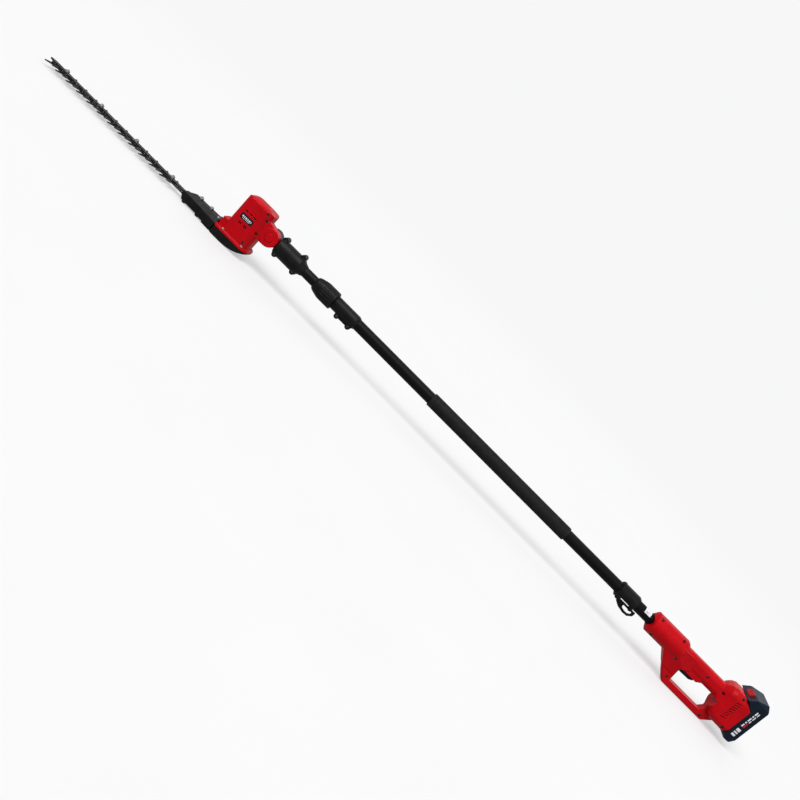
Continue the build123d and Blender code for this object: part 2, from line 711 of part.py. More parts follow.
def head_form():
    """Outer form of the red housing before it is hollowed and split."""
    x0, x1 = HEAD_X
    form = head_block(0)
    step = plan_plate(rectangle(x0 - 15, x0 + 15, -20, 20), -60, -35, 6)
    step = chamfer(step.faces().sort_by(Axis.Z)[-1].edges(), 2)
    flange = rounded_plan(*FLANGE_X, 37, 12, 24, FLANGE_Z, FLANGE_TOP_Z)
    flange = chamfer(flange.faces().sort_by(Axis.Z)[-1].edges(), 2)
    px, pz = PIVOT
    arm = side_plate(
        [(x1 - 13, 31), (x1 + 3, 29), (px + 2, pz + 21.9), (px, pz), (px, pz - KNUCKLE_R), (x1 - 13, -21)],
        -KNUCKLE_Y + 1.5, -GAP,
    )
    knuckle = rod_y(KNUCKLE_R, px, pz, -KNUCKLE_Y, -GAP)
    knuckle = fillet(knuckle.faces().sort_by(Axis.Y)[0].edges(), 2.5)
    return form + step + flange + arm + knuckle


def head_cavity():
    """Room for the motor and the gears, and the pocket of the gear plate."""
    cavity = head_block(HEAD_WALL) & box(-700, -400, -FAR, FAR, -58, FAR)
    cavity += box(HEAD_X[0] - 12, HEAD_X[0] + 5, -17, 17, -58, -38)
    cavity += rod_z(25, GEAR_X, 0, -58.5, -48)
    cavity += gear_plate_form()
    return cavity


def gear_plate_form():
    plate = plan_plate(rectangle(-577, -500, -27, 27), FLANGE_Z, -58, 9)
    return plate + box(-594, -576, -20, 20, FLANGE_Z, -60)


def head_vents():
    """Small slots above and below the label, on both sides."""
    slots = []
    label_z = sum(LABEL_Z) / 2
    for x in (LABEL_X[0] + 5, LABEL_X[0] + 17.5, LABEL_X[0] + 30):
        slots.append(Pos(x, 0, label_z + 14) * Box(8, 2 * FAR, 2.6))
    for x in (LABEL_X[0] + 8, LABEL_X[0] + 12.5, LABEL_X[0] + 23, LABEL_X[0] + 27.5):
        slots.append(Pos(x, 0, label_z - 16.5) * Box(2.6, 2 * FAR, 6))
    return Compound(children=slots) - box(-700, -400, -26, 26, -FAR, FAR)


def label_seat():
    points = rectangle(*LABEL_X, *LABEL_Z)
    return side_plate(points, -HEAD_HALF - 5, -HEAD_HALF + 0.7, 1.2)


def head_shells():
    """Left and right shells of the cutting head's housing."""
    form = head_form()
    px, pz = PIVOT
    body = form - head_cavity()
    inner = head_block(0)
    for x, z, _ in HEAD_SCREWS:
        body += boss_y(x, z, inner, 3.9)
    body -= rod_y(KNUCKLE_R + 0.7, px, pz, -GAP, FAR)
    body -= rod_y(BUTTON_R + GAP, px, pz, -FAR, -11)
    body -= rod_y(4.0 + RUN, px, pz, -FAR, FAR)
    for x, z, half in HEAD_SCREWS:
        body -= screw_hole_y(x, z, half)
    for x, y in FLANGE_BOLTS:
        body -= rod_z(SCREW_BORE_R, x, y, -70, -50)
        body -= rod_z(3.8, x, y, -57, -46)
    body -= Compound(children=head_vents().solids())
    body -= label_seat()
    save("head_left_shell", left_half(body))
    save("head_right_shell", right_half(body))
    save("head_screws", Compound(children=[screw_y(*place) for place in HEAD_SCREWS]))
    points = rectangle(*LABEL_X, *LABEL_Z)
    save("head_label", side_plate(points, -HEAD_HALF + 0.1, -HEAD_HALF + 0.7, 1.2))


def coil_y(x, z, y0, y1, radius, wire, turns):
    """Compression spring along Y."""
    path = Helix((y1 - y0 - 2 * wire) / turns, y1 - y0 - 2 * wire, radius)
    start = Plane(origin=path @ 0, z_dir=path % 0)
    coil = sweep(start * Circle(wire), path)
    return Pos(x, y1 - wire, z) * Rot(90, 0, 0) * coil


def pivot_button_parts():
    """Button that unlocks the head's hinge, and the spring behind it."""
    px, pz = PIVOT
    button = rod_y(BUTTON_R, px, pz, -27.2, -19)
    button = chamfer(button.faces().sort_by(Axis.Y)[0].edges(), 0.8)
    button -= rod_y(9.4, px, pz, -24.5, -18)
    save("pivot_lock_button", button)
    save("pivot_button_spring", coil_y(px, pz, -19.8, -11.1, 8.4, 0.5, 4))


def involute_gear(teeth, turn, backlash):
    """Flat spur gear outline with involute flanks, one tooth centred on turn."""
    pitch_r = MODULE * teeth / 2
    pressure = radians(25)
    base_r = pitch_r * cos(pressure)
    tip_r = pitch_r + 0.85 * MODULE
    root_r = pitch_r - 1.15 * MODULE
    half_pitch = pi / (2 * teeth) - backlash / (2 * pitch_r)

    def roll(radius):
        angle = sqrt(max((radius / base_r) ** 2 - 1, 0))
        return angle - atan2(angle, 1)

    start_r = max(base_r, root_r)
    radii = [start_r + (tip_r - start_r) * step / 4 for step in range(5)]
    points = []
    for index in range(teeth):
        centre = radians(turn) + 2 * pi * index / teeth
        flank = [(r, half_pitch + roll(pitch_r) - roll(r)) for r in radii]
        flank = [(root_r, flank[0][1])] + flank
        for r, half in flank:
            points.append((r * cos(centre - half), r * sin(centre - half)))
        for r, half in reversed(flank):
            points.append((r * cos(centre + half), r * sin(centre + half)))
    return outline([p for i, p in enumerate(points) if i == 0 or p != points[i - 1]])


def motor_parts():
    """Brushed motor with its fan and pinion."""
    can = rod_z(MOTOR_R, MOTOR_X, 0, -44, 14) + rod_z(6, MOTOR_X, 0, 14, 18)
    can += rod_z(7.9, MOTOR_X, 0, -47, -44)
    can -= rod_z(2.5 + RUN, MOTOR_X, 0, -60, 40)
    can -= rod_z(MOTOR_R - 2.5, MOTOR_X, 0, -38, 8) - rod_z(5, MOTOR_X, 0, -40, 10)
    for y in (-12, 12):
        can += box(MOTOR_X - 3, MOTOR_X + 3, y - 1, y + 1, 14, 22)
    save("motor_can", can)
    shaft = rod_z(2.5, MOTOR_X, 0, -57.6, 32)
    fan = rod_z(5, MOTOR_X, 0, 23.5, 30) + rod_z(16, MOTOR_X, 0, 23.5, 24.7)
    for index in range(8):
        blade = Rot(0, 0, 45 * index) * Pos(10, 0, 27) * Rot(0, 0, 20) * Box(11, 1.2, 6)
        fan += Pos(MOTOR_X, 0, 0) * blade
    fan -= rod_z(2.5, MOTOR_X, 0, 0, 40)
    save("motor_shaft", shaft)
    save("motor_fan", fan)
    pinion = Pos(MOTOR_X, 0, -57.4) * extrude(involute_gear(PINION_TEETH, 180 / PINION_TEETH, 0.16), 8)
    pinion -= rod_z(2.5, MOTOR_X, 0, -60, -40)
    save("motor_pinion", pinion)
    plate = box(-540, -509, -27.4, 27.4, -47, -44)
    plate -= rod_z(7.9, MOTOR_X, 0, -50, -40)
    save("motor_plate", plate)


def gear_parts():
    """Reduction gear, its shaft with two eccentrics, bearing and plate."""
    gear = Pos(GEAR_X, 0, -57) * extrude(involute_gear(GEAR_TEETH, 0, 0.16), 7)
    for angle in range(0, 360, 60):
        gear -= Pos(GEAR_X, 0, 0) * Rot(0, 0, angle + 30) * rod_z(3.4, 13.5, 0, -60, -45)
    gear -= rod_z(5.0, GEAR_X, 0, -60, -40)
    save("main_gear", gear)
    shaft = rod_z(5.0, GEAR_X, 0, -74.6, -48.5) + rod_z(4.0, GEAR_X, 0, -79, -74.6)
    shaft += rod_z(6.6, GEAR_X, 0, UPPER_BLADE_Z[1] + GAP, FLANGE_Z - GAP)
    save("gear_shaft", shaft)
    upper = rod_z(ECCENTRIC_R, GEAR_X, STROKE, UPPER_BLADE_Z[0] - 0.1, UPPER_BLADE_Z[1] + 0.2)
    lower = rod_z(ECCENTRIC_R, GEAR_X, -STROKE, LOWER_BLADE_Z[0] - 0.2, LOWER_BLADE_Z[1] + 0.1)
    shaft_hole = rod_z(5.0, GEAR_X, 0, -80, -40)
    save("eccentrics", Compound(children=(upper - shaft_hole).solids() + (lower - shaft_hole).solids()))
    plate = gear_plate_form() - rod_z(11, GEAR_X, 0, -70, -50)
    for x, y in GUARD_FIXINGS:
        plate -= rod_z(SCREW_BORE_R, x, y, -70, -50)
    save("gear_plate", plate)
    outer_ring = rod_z(11, GEAR_X, 0, FLANGE_Z + 0.2, -58.2) - rod_z(8.6, GEAR_X, 0, -70, -50)
    inner_ring = rod_z(7.0, GEAR_X, 0, FLANGE_Z + 0.2, -58.2) - rod_z(5.0 + RUN, GEAR_X, 0, -70, -50)
    filler = rod_z(8.6, GEAR_X, 0, -63, -59.4) - rod_z(7.0, GEAR_X, 0, -70, -50)
    save("gear_bearing", outer_ring + inner_ring + filler)


CASE_FLOOR_Z = -75.0


def gear_case_parts():
    """Black bottom cover, the flange bolts and the front guard."""
    front, rear = FLANGE_X[0], FLANGE_X[1] - 1
    side = side_plate(
        [(front, FLANGE_Z), (front, REST_Z), (-546, REST_Z), (-528, -82.6), (-512, -79.2), (-498, -74),
         (-488, -69), (rear, -66.5), (rear, FLANGE_Z)],
        -FAR, FAR,
    )
    case = side & rounded_plan(front, rear, 36, 12, 23, -100, 0)
    case -= plan_plate(rectangle(front + 2.5, -517, -28, 28), CASE_FLOOR_Z, FLANGE_Z + 1, 8)
    case -= box(front - 1, front + 12, -12.5, 12.5, CASE_FLOOR_Z, FLANGE_Z + 1)
    case -= rod_z(4.0 + RUN, GEAR_X, 0, -79.5, -70)
    for x, y in FLANGE_BOLTS:
        case -= rod_z(SCREW_BORE_R, x, y, -71, -60)
    save("gear_case_cover", case)
    bolts = []
    for x, y in FLANGE_BOLTS:
        bolt = rod_z(SCREW_R, x, y, -70.5, FLANGE_TOP_Z) + rod_z(3.4, x, y, FLANGE_TOP_Z, -54.4)
        bolts.append(bolt - hex_z(1.8, x, y, -55.8, -50))
    save("flange_bolts", Compound(children=bolts))


def guard_form():
    """Outer form of the blade guard: a skirt, a sloping deck and cross feet."""
    x0, x1 = GUARD_X
    half_skirt = [(x0, -14), (x0 + 16, -20), (x0 + 56, -21), (x0 + 66, -29), (x1, -32)]
    mirrored = [(x, -y) for x, y in reversed(half_skirt)]
    skirt = plan_plate(half_skirt + mirrored, SKIRT_Z, -62)
    skirt &= side_plate([(x0, -62), (x0, -72), (x0 + 8, SKIRT_Z), (x1, SKIRT_Z), (x1, -62)], -FAR, FAR)
    half_deck = [(x0 - 8, -14), (x0 + 30, -19), (x0 + 60, -21), (x1 + 12, -30)]
    deck_plan = outline(half_deck + [(x, -y) for x, y in reversed(half_deck)])
    deck = Pos(0, 0, -64) * extrude(deck_plan, GUARD_TOP_Z + 64, taper=38)
    deck &= side_plate([(x0, -64), (x0 + 22, GUARD_TOP_Z), (x1, GUARD_TOP_Z), (x1, -64)], -FAR, FAR)
    form = skirt + deck
    for x, half in ((x0 + 16, 20.5), (x0 + 60, 25.0)):
        form += side_plate([(x - 4, -79.5), (x - 2, REST_Z), (x + 4, REST_Z), (x + 6, -79.5)], -half, half)
    foot = plan_plate([(x1 - 26, -28.5), (x1, -32), (x1, 32), (x1 - 26, 28.5)], REST_Z, -80)
    return form + foot


def blade_guard():
    """Nose casting that shields the first stretch of the blades."""
    x0, x1 = GUARD_X
    guard = guard_form()
    guard -= box(x0 - 1, x1 + 1, -12.5, 12.5, -78.6, BAR_Z[1])
    guard -= box(-594, x1 + 1, -20, 20, FLANGE_Z, -60)
    for x in GUARD_BOLTS_X:
        guard -= rod_z(2.5, x, 0, -70, -40)
    for x, y in GUARD_FIXINGS:
        guard -= rod_z(SCREW_BORE_R, x, y, -64, -40)
    save("blade_guard", guard)
    bolts = []
    for x, y in GUARD_FIXINGS:
        bolt = rod_z(SCREW_R, x, y, -63.6, GUARD_TOP_Z) + rod_z(3.6, x, y, GUARD_TOP_Z, GUARD_TOP_Z + 3)
        bolts.append(bolt - hex_z(1.9, x, y, GUARD_TOP_Z + 1.2, -40))
    save("guard_fixing_bolts", Compound(children=bolts))


def tooth(tip_x, side, z0, z1):
    """One slanted tooth on one side of a blade."""
    root_y = SPINE_Y - 1.5
    points = [(tip_x, TOOTH_TIP_Y), (tip_x + 3.5, TOOTH_TIP_Y), (tip_x + 16, root_y), (tip_x + 4, root_y)]
    return plan_plate([(x, side * y) for x, y in points], z0, z1)


def blade(name, first_tip_x, tooth_count, heights):
    """One reciprocating blade: toothed spine, bolt slots and a rear yoke."""
    z0, z1 = heights
    end_x = BLADE_TIP_X + 8
    plate = box(end_x, GEAR_X - 10, -SPINE_Y, SPINE_Y, z0, z1)
    clear_x = ECCENTRIC_R + 2 * STROKE + GAP
    clear_y = ECCENTRIC_R + STROKE + GAP
    yoke_x = clear_x + 3.2
    yoke_y = clear_y + 3.6
    plate += plan_plate(rectangle(GEAR_X - yoke_x, GEAR_X + yoke_x, -yoke_y, yoke_y), z0, z1, 4)
    for index in range(tooth_count):
        for side in (-1, 1):
            plate += tooth(first_tip_x + TOOTH_PITCH * index, side, z0, z1)
    plate -= plan_plate(
        rectangle(GEAR_X - clear_x, GEAR_X + clear_x, -clear_y, clear_y), z0 - 1, z1 + 1
    )
    for x in BLADE_BOLTS_X + GUARD_BOLTS_X:
        plate -= box(x - STROKE, x + STROKE, -2.8, 2.8, z0 - 1, z1 + 1)
        for end in (x - STROKE, x + STROKE):
            plate -= rod_z(2.8, end, 0, z0 - 1, z1 + 1)
    for side in (-1, 1):
        plate -= Pos(end_x + 2.5, side * 8, (z0 + z1) / 2) * Box(7, 8, 5)
    save(name, plate)


def blade_parts():
    """Both blades, the bar above them, and the bolts that hold the stack."""
    blade("upper_blade", FIRST_TOOTH_X + 0.6 * TOOTH_PITCH, 12, UPPER_BLADE_Z)
    blade("lower_blade", FIRST_TOOTH_X, 12, LOWER_BLADE_Z)
    nose = [(BLADE_TIP_X + 13, 7.5), (BLADE_TIP_X, 2), (BLADE_TIP_X, -2), (BLADE_TIP_X + 13, -7.5)]
    bar = plan_plate(nose + [(-600, -7.5), (-600, 7.5)], *BAR_Z)
    for x in BLADE_BOLTS_X + GUARD_BOLTS_X:
        bar -= rod_z(2.5, x, 0, -70, -60)
    save("support_bar", bar)
    bolts, nuts, washers = [], [], []
    washer_z = LOWER_BLADE_Z[0] - GAP
    for x in BLADE_BOLTS_X + GUARD_BOLTS_X:
        seat = GUARD_TOP_Z if x in GUARD_BOLTS_X else BAR_Z[1]
        bolt = rod_z(2.5, x, 0, washer_z - 1, seat + 7) + rod_z(4.6, x, 0, washer_z - 3.6, washer_z - 1)
        bolts.append(bolt)
        nut = hex_z(5.4, x, 0, seat, seat + 4.8) - rod_z(2.5, x, 0, seat - 1, seat + 9)
        nuts.append(nut)
        washers.append(rod_z(5.8, x, 0, washer_z - 1, washer_z) - rod_z(2.5, x, 0, -90, -60))
    save("blade_bolts", Compound(children=bolts))
    save("blade_nuts", Compound(children=nuts))
    save("blade_washers", Compound(children=washers))


# ---------------------------------------------------------------- all parts
os.makedirs("parts", exist_ok=True)
handle_shells()
trigger_parts()
handle_electrics()
battery_parts()
tube_parts()
lock_collar_parts()
front_clamp()
strap_parts()
strap_ring()
bracket_parts()
hinge_parts()
head_shells()
pivot_button_parts()
motor_parts()
gear_parts()
gear_case_parts()
blade_guard()
blade_parts()
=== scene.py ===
import json
import math

import bpy
from mathutils import Matrix, Vector


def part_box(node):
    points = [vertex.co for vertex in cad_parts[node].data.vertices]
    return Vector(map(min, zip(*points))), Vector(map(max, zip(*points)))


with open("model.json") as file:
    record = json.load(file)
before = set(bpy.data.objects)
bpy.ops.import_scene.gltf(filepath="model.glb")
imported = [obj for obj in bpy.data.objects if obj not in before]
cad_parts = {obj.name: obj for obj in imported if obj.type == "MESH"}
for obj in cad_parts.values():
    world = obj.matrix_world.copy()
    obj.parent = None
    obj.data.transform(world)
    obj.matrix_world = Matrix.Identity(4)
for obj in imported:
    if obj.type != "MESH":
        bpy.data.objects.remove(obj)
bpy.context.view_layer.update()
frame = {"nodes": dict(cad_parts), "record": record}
nodes = frame["nodes"]

# ------------------------------------------------------------------ node-tree helper
MM = 0.001
NOISE_ROUGHNESS = 0.55


class Tree:
    """Short calls for building one material's node tree."""

    def __init__(self, name):
        self.material = bpy.data.materials.new(name)
        self.material.use_nodes = True
        self.tree = self.material.node_tree
        self.tree.nodes.clear()
        self.output = self.tree.nodes.new("ShaderNodeOutputMaterial")
        self.shader = self.tree.nodes.new("ShaderNodeBsdfPrincipled")
        self.link(self.shader.outputs["BSDF"], self.output.inputs["Surface"])
        self.place = self.tree.nodes.new("ShaderNodeTexCoord").outputs["Object"]

    def link(self, source, target):
        self.tree.links.new(source, target)

    def put(self, socket, value):
        if isinstance(value, bpy.types.NodeSocket):
            self.link(value, socket)
        else:
            socket.default_value = value

    def set(self, **values):
        for key, value in values.items():
            self.put(self.shader.inputs[key.replace("_", " ")], value)

    def scaled(self, scale):
        mapping = self.tree.nodes.new("ShaderNodeMapping")
        self.link(self.place, mapping.inputs["Vector"])
        mapping.inputs["Scale"].default_value = scale
        return mapping.outputs["Vector"]

    def noise(self, size, detail=3.0, stretch=(1, 1, 1)):
        """Noise with features about size metres across."""
        node = self.tree.nodes.new("ShaderNodeTexNoise")
        self.link(self.scaled(stretch), node.inputs["Vector"])
        node.inputs["Scale"].default_value = 1 / size
        node.inputs["Detail"].default_value = detail
        node.inputs["Roughness"].default_value = NOISE_ROUGHNESS
        return node.outputs["Fac"]

    def cells(self, size):
        """Distance to the middles of cells about size metres across."""
        node = self.tree.nodes.new("ShaderNodeTexVoronoi")
        self.link(self.scaled((1, 1, 1)), node.inputs["Vector"])
        node.inputs["Scale"].default_value = 1 / size
        return node.outputs["Distance"]

    def ramp(self, fac, low, high, to_low=0.0, to_high=1.0):
        node = self.tree.nodes.new("ShaderNodeMapRange")
        node.clamp = True
        self.link(fac, node.inputs["Value"])
        node.inputs["From Min"].default_value = low
        node.inputs["From Max"].default_value = high
        node.inputs["To Min"].default_value = to_low
        node.inputs["To Max"].default_value = to_high
        return node.outputs["Result"]

    def math(self, operation, a, b=0.0):
        node = self.tree.nodes.new("ShaderNodeMath")
        node.operation = operation
        self.put(node.inputs[0], a)
        self.put(node.inputs[1], b)
        return node.outputs[0]

    def mix(self, fac, a, b):
        node = self.tree.nodes.new("ShaderNodeMix")
        node.data_type = "RGBA"
        self.put(node.inputs["Factor"], fac)
        self.put(node.inputs["A"], rgba(a))
        self.put(node.inputs["B"], rgba(b))
        return node.outputs["Result"]

    def axis(self, name):
        node = self.tree.nodes.new("ShaderNodeSeparateXYZ")
        self.link(self.place, node.inputs[0])
        return node.outputs[name]

    def bump(self, height, distance, strength=1.0, over=None):
        node = self.tree.nodes.new("ShaderNodeBump")
        node.inputs["Strength"].default_value = strength
        node.inputs["Distance"].default_value = distance
        self.link(height, node.inputs["Height"])
        if over is not None:
            self.link(over, node.inputs["Normal"])
        return node.outputs["Normal"]

    def soft_edge(self, radius):
        node = self.tree.nodes.new("ShaderNodeBevel")
        node.samples = 6
        node.inputs["Radius"].default_value = radius
        return node.outputs["Normal"]

    def edge_mask(self, radius, low=0.02, high=0.25):
        """1 along sharp edges, 0 on flat and gently curved faces."""
        geometry = self.tree.nodes.new("ShaderNodeNewGeometry")
        dot = self.tree.nodes.new("ShaderNodeVectorMath")
        dot.operation = "DOT_PRODUCT"
        self.link(self.soft_edge(radius), dot.inputs[0])
        self.link(geometry.outputs["Normal"], dot.inputs[1])
        return self.ramp(self.math("SUBTRACT", 1.0, dot.outputs["Value"]), low, high)


def rgba(value):
    """A colour with its alpha, or a socket as it is."""
    if isinstance(value, tuple) and len(value) == 3:
        return (*value, 1.0)
    return value


# ------------------------------------------------------------------ materials
def moulded_plastic(
    name, colour, light, rough, grain=0.6 * MM, grain_depth=0.04 * MM, shine=0.2
):
    """Moulded plastic: fine grain, faint mottling, scuffed lighter edges."""
    t = Tree(name)
    mottle = t.ramp(t.noise(0.02), 0.35, 0.7)
    base = t.mix(t.math("MULTIPLY", mottle, 0.25), colour, light)
    scuff = t.math("MULTIPLY", t.edge_mask(0.8 * MM), t.ramp(t.noise(0.006), 0.42, 0.62))
    t.set(Base_Color=t.mix(t.math("MULTIPLY", scuff, 0.45), base, light))
    t.set(Roughness=t.ramp(t.noise(0.008, 4), 0.3, 0.7, rough - 0.05, rough + 0.07))
    t.set(Specular_IOR_Level=shine)
    grain_height = t.math("ADD", t.noise(grain, 2), t.math("MULTIPLY", t.cells(grain * 1.6), 0.6))
    t.set(Normal=t.bump(grain_height, grain_depth, 0.5, t.soft_edge(1.2 * MM)))
    return t.material


def red_plastic():
    """Glossy saturated red housing plastic."""
    t = Tree("red_plastic")
    deep, bright = (0.44, 0.0, 0.003), (0.54, 0.0, 0.006)
    mottle = t.ramp(t.noise(0.03), 0.3, 0.7)
    base = t.mix(mottle, deep, bright)
    scuff = t.math("MULTIPLY", t.edge_mask(0.8 * MM), t.ramp(t.noise(0.005), 0.45, 0.6))
    seam = band(t, "Y", -0.25 * MM, 0.25 * MM, 0.1 * MM)
    worn = t.mix(t.math("MULTIPLY", scuff, 0.35), base, (0.72, 0.05, 0.06))
    t.set(Base_Color=t.mix(t.math("MULTIPLY", seam, 0.8), worn, (0.06, 0.0, 0.003)))
    t.set(Roughness=t.ramp(t.noise(0.010, 4), 0.3, 0.7, 0.32, 0.44))
    t.set(Specular_IOR_Level=0.12)
    grain = t.math("ADD", t.noise(0.0007, 2), t.math("MULTIPLY", t.cells(0.0011), 0.5))
    t.set(Normal=t.bump(grain, 0.03 * MM, 0.35, t.soft_edge(2.2 * MM)))
    return t.material


def painted_tube():
    """Satin black powder coat, with faint orange peel and lengthwise rub marks."""
    t = Tree("black_tube")
    streak = t.ramp(t.noise(0.004, 4, (0.03, 1, 1)), 0.55, 0.75)
    rubbed = t.math("MULTIPLY", streak, 0.4)
    t.set(Base_Color=t.mix(rubbed, (0.003, 0.003, 0.003), (0.012, 0.012, 0.013)))
    t.set(Roughness=t.ramp(t.noise(0.006, 3), 0.3, 0.7, 0.40, 0.52), Specular_IOR_Level=0.11)
    peel = t.math("ADD", t.noise(0.0013, 2), t.math("MULTIPLY", streak, -0.3))
    t.set(Normal=t.bump(peel, 0.05 * MM, 0.4, t.soft_edge(0.4 * MM)))
    return t.material


def anodised_tube():
    """Black anodised aluminium with sliding scratches along X."""
    t = Tree("inner_tube")
    scratch = t.ramp(t.noise(0.0012, 4, (0.02, 1, 1)), 0.6, 0.72)
    scratched = t.math("MULTIPLY", scratch, 0.4)
    t.set(Base_Color=t.mix(scratched, (0.006, 0.006, 0.007), (0.05, 0.05, 0.055)))
    t.set(Metallic=0.2, Specular_IOR_Level=0.12)
    t.set(Roughness=t.ramp(t.noise(0.003, 3, (0.1, 1, 1)), 0.3, 0.7, 0.34, 0.48))
    t.set(Normal=t.bump(scratch, -0.02 * MM, 0.5))
    return t.material


def grip_rubber():
    """Soft ribbed rubber, dull, with dust in its grooves."""
    t = Tree("grip_rubber")
    groove = t.edge_mask(1.0 * MM, 0.02, 0.5)
    dust = t.math("MULTIPLY", t.ramp(t.noise(0.015, 4), 0.45, 0.7), 0.35)
    body = t.mix(dust, (0.007, 0.007, 0.007), (0.022, 0.022, 0.021))
    t.set(Base_Color=t.mix(t.math("MULTIPLY", groove, 0.5), body, (0.040, 0.039, 0.037)))
    t.set(Roughness=t.ramp(t.noise(0.004), 0.3, 0.7, 0.55, 0.75), Specular_IOR_Level=0.2)
    t.set(Normal=t.bump(t.noise(0.0005, 3), 0.05 * MM, 0.5))
    return t.material


def blade_steel():
    """Dark hardened steel, ground brighter at the cutting edges."""
    t = Tree("blade_steel")
    grain = t.noise(0.0008, 4, (0.06, 1, 1))
    stain = t.ramp(t.noise(0.012, 4), 0.4, 0.7)
    dark = t.mix(stain, (0.018, 0.018, 0.020), (0.045, 0.043, 0.041))
    edge = t.math("MULTIPLY", t.edge_mask(0.9 * MM, 0.01, 0.2), t.ramp(t.noise(0.003), 0.25, 0.6))
    t.set(Base_Color=t.mix(edge, dark, (0.42, 0.43, 0.45)))
    t.set(Metallic=0.9, Roughness=t.ramp(grain, 0.3, 0.7, 0.28, 0.5))
    t.set(Normal=t.bump(grain, 0.02 * MM, 0.4, t.soft_edge(0.3 * MM)))
    return t.material


def plain_metal(name, colour, light, rough, grain=1.5 * MM, stretch=(1, 1, 1)):
    """Metal with fine grain, light edges and uneven sheen."""
    t = Tree(name)
    edge = t.edge_mask(0.4 * MM, 0.02, 0.3)
    stain = t.ramp(t.noise(0.006, 4), 0.35, 0.7)
    t.set(Base_Color=t.mix(t.math("MULTIPLY", edge, 0.5), t.mix(stain, colour, light), light))
    sheen = t.ramp(t.noise(0.003, 3, stretch), 0.3, 0.7, rough - 0.06, rough + 0.1)
    t.set(Metallic=1.0, Roughness=sheen)
    t.set(Normal=t.bump(t.noise(grain, 3, stretch), 0.02 * MM, 0.4, t.soft_edge(0.3 * MM)))
    return t.material


def circuit_board():
    """Green board with pale traces and dark parts standing on its front."""
    t = Tree("board")
    trace = t.ramp(t.cells(0.004), 0.03, 0.06)
    green = t.mix(trace, (0.25, 0.35, 0.12), (0.01, 0.11, 0.03))
    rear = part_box("control_board")[1].x
    on_board = t.ramp(t.axis("X"), rear - 1.9 * MM, rear - 1.7 * MM)
    t.set(Base_Color=t.mix(on_board, (0.02, 0.02, 0.022), green))
    t.set(Roughness=0.4, Normal=t.bump(trace, 0.02 * MM, 0.5))
    return t.material


def band(t, axis, low, high, soft=0.05 * MM):
    """1 between low and high along an axis, 0 outside."""
    place = t.axis(axis)
    rise = t.ramp(place, low - soft, low + soft)
    fall = t.ramp(place, high - soft, high + soft, 1.0, 0.0)
    return t.math("MULTIPLY", rise, fall)


def bar_print(t, node, bars):
    """Generic printed bars: each is (x0, x1, z0, z1) as shares of the node's box."""
    low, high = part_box(node)
    size = high - low
    total = None
    for x0, x1, z0, z1 in bars:
        across = band(t, "X", low.x + x0 * size.x, low.x + x1 * size.x)
        up = band(t, "Z", low.z + z0 * size.z, low.z + z1 * size.z)
        block = t.math("MULTIPLY", across, up)
        total = block if total is None else t.math("MAXIMUM", total, block)
    return total


def printed_film(node, bars, accents=()):
    """Dark printed label film with pale bars and an optional red accent."""
    t = Tree(f"{node}_print")
    base = t.mix(t.ramp(t.noise(0.01), 0.3, 0.7), (0.003, 0.005, 0.010), (0.007, 0.010, 0.018))
    colour = t.mix(bar_print(t, node, bars), base, (0.72, 0.74, 0.78))
    if accents:
        colour = t.mix(bar_print(t, node, accents), colour, (0.55, 0.01, 0.03))
    t.set(Base_Color=colour)
    t.set(Roughness=t.ramp(t.noise(0.004), 0.3, 0.7, 0.28, 0.40), Specular_IOR_Level=0.14)
    t.set(Normal=t.bump(t.noise(0.0012, 2), 0.01 * MM, 0.3))
    return t.material


def sticker_film():
    """White tube sticker with two grey bars."""
    t = Tree("sticker")
    bars = bar_print(t, "tube_sticker", STICKER_BARS)
    paper = t.mix(t.ramp(t.noise(0.004), 0.3, 0.7), (0.74, 0.75, 0.78), (0.82, 0.82, 0.83))
    t.set(Base_Color=t.mix(bars, paper, (0.25, 0.27, 0.33)))
    t.set(Roughness=t.ramp(t.noise(0.003), 0.3, 0.7, 0.35, 0.5))
    t.set(Normal=t.bump(t.noise(0.001), 0.01 * MM, 0.4))
    return t.material


# Colour, colour of worn edges and mean roughness, and what else differs from the usual.
PLASTICS = {
    "black_plastic": dict(
        colour=(0.004, 0.004, 0.0045), light=(0.020, 0.020, 0.021), rough=0.44, shine=0.15
    ),
    "navy_plastic": dict(
        colour=(0.003, 0.009, 0.020), light=(0.012, 0.026, 0.050), rough=0.42, shine=0.12
    ),
    "cell_wrap": dict(
        colour=(0.01, 0.16, 0.06), light=(0.05, 0.34, 0.14), rough=0.28,
        grain=2 * MM, grain_depth=0.02 * MM,
    ),
}
METALS = {
    "bright_steel": dict(colour=(0.55, 0.56, 0.58), light=(0.80, 0.81, 0.83), rough=0.24),
    "dark_screw": dict(colour=(0.035, 0.035, 0.038), light=(0.16, 0.16, 0.17), rough=0.38),
    "cast_aluminium": dict(
        colour=(0.45, 0.46, 0.47), light=(0.68, 0.69, 0.70), rough=0.48, grain=0.8 * MM
    ),
    "gear_steel": dict(colour=(0.30, 0.30, 0.31), light=(0.55, 0.55, 0.57), rough=0.30),
    "motor_steel": dict(
        colour=(0.36, 0.36, 0.36), light=(0.58, 0.58, 0.58), rough=0.34,
        grain=1 * MM, stretch=(1, 1, 0.1),
    ),
    "spring_steel": dict(colour=(0.42, 0.42, 0.44), light=(0.70, 0.70, 0.72), rough=0.26),
    "contact_brass": dict(colour=(0.55, 0.36, 0.10), light=(0.82, 0.62, 0.28), rough=0.28),
}
